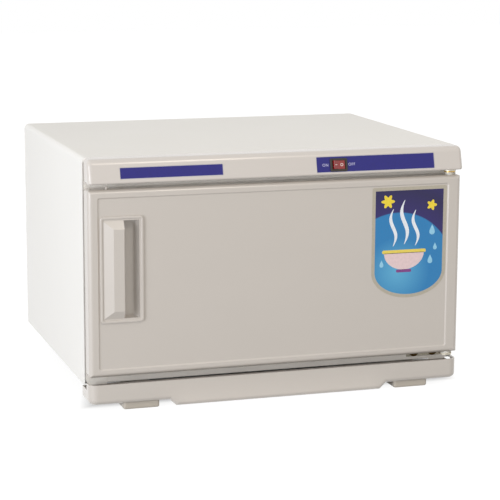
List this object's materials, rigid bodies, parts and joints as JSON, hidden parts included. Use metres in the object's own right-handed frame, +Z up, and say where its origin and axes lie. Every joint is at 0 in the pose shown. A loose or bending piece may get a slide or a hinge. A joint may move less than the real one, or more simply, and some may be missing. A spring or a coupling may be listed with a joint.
{
  "type": "towel warmer",
  "caption": "Countertop hot towel cabinet with a hinged door, recessed side grip, leaning control fascia with a rocker switch, and a slide-out drip tray.",
  "frame": {"origin": "on the surface it stands on, under the centre of the whole object", "axes": "+X to the right of someone facing the door, -Y towards them, +Z up"},
  "size_m": [0.4502, 0.3804, 0.285],
  "materials": {
    "casing_paint": "satin powder coat",
    "panel_paint": "satin powder coat",
    "frame_plastic": "satin",
    "cream_plastic": "soft gloss",
    "liner_aluminium": "satin",
    "blanket": "glass wool",
    "foam": "foam",
    "heater": "silicone",
    "sensor": "phenolic",
    "rack_wire": "polished",
    "switch_black": "satin",
    "rocker_red": "gloss",
    "brass": "plain",
    "seal_rubber": "matt",
    "nylon": "satin",
    "hinge_steel": "zinc plated",
    "screw_steel": "zinc plated",
    "dark_screw": "bronzed",
    "black_plastic": "satin",
    "block_plastic": "satin",
    "wire_rubber": "matt"
  },
  "bodies": {
    "cabinet": {"casing": "casing_paint", "base_pan": "panel_paint", "back_panel": "panel_paint", "back_screws": "screw_steel", "cord_gland": "black_plastic", "gland_nut": "black_plastic", "front_frame": "frame_plastic", "chamber_liner": "liner_aluminium", "chamber_insulation": "blanket", "heater_mat": "heater", "thermostat": "sensor", "thermal_cutout": "sensor", "wire_rack": "rack_wire", "control_fascia": "cream_plastic", "switch_body": "switch_black", "switch_terminals": "brass", "hinge_lower": "hinge_steel", "hinge_upper": "hinge_steel", "hinge_pin_lower": "brass", "hinge_pin_upper": "brass", "hinge_screws": "dark_screw", "front_foot_left": "cream_plastic", "front_foot_right": "cream_plastic", "rear_foot_left": "cream_plastic", "rear_foot_right": "cream_plastic", "foot_screws": "screw_steel", "terminal_block": "block_plastic", "wiring": "wire_rubber"},
    "door": {"door_skin": "cream_plastic", "door_grip": "cream_plastic", "door_foam": "foam", "door_liner": "liner_aluminium", "door_screws": "screw_steel", "door_gasket": "seal_rubber", "door_buffer": "nylon", "hinge_bush_lower": "nylon", "hinge_bush_upper": "nylon"},
    "rocker": {"switch_rocker": "rocker_red"},
    "tray": {"drip_tray": "cream_plastic"}
  },
  "joints": [
    {"name": "door_hinge", "type": "hinge", "parent": "cabinet", "child": "door", "pos_m": [0.2115, -0.17525, 0.14515], "axis": [0, 0, 1], "range_deg": [0, 110]},
    {"name": "rocker_tilt", "type": "hinge", "parent": "cabinet", "child": "rocker", "pos_m": [0.069, -0.1842, 0.26881], "axis": [0, -0.2577, -0.9662], "range_deg": [0, 20]},
    {"name": "tray_slide", "type": "slide", "parent": "cabinet", "child": "tray", "axis": [0, -1, 0], "range_m": [0, 0.05]}
  ]
}
